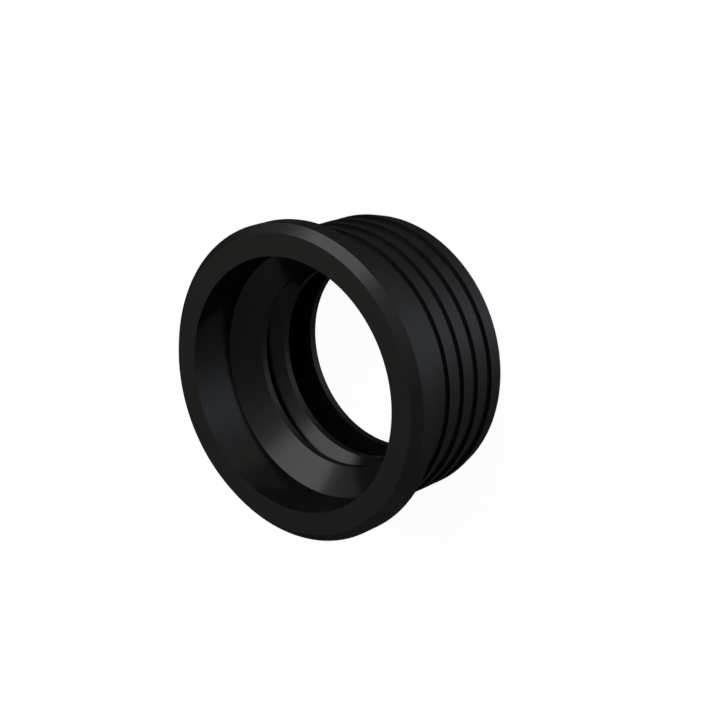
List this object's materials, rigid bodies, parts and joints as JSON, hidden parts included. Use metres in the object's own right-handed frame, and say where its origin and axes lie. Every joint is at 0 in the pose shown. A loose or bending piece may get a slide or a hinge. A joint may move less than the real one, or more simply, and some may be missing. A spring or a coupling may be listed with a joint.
{
  "type": "rubber pipe reducer",
  "caption": "Round black rubber sleeve with a collar and a ribbed end that seals a small round rain pipe inside a wider drain pipe.",
  "frame": {"origin": "on the axis, in the plane of the ribbed end that the part stands on", "axes": "+Z along the axis, from the ribbed end up to the mouth; the part is round about it"},
  "size_m": [0.116, 0.116, 0.057],
  "materials": {
    "rubber": "satin black moulded rubber"
  },
  "bodies": {
    "root": {"rubber_reducer": "rubber"}
  },
  "joints": []
}
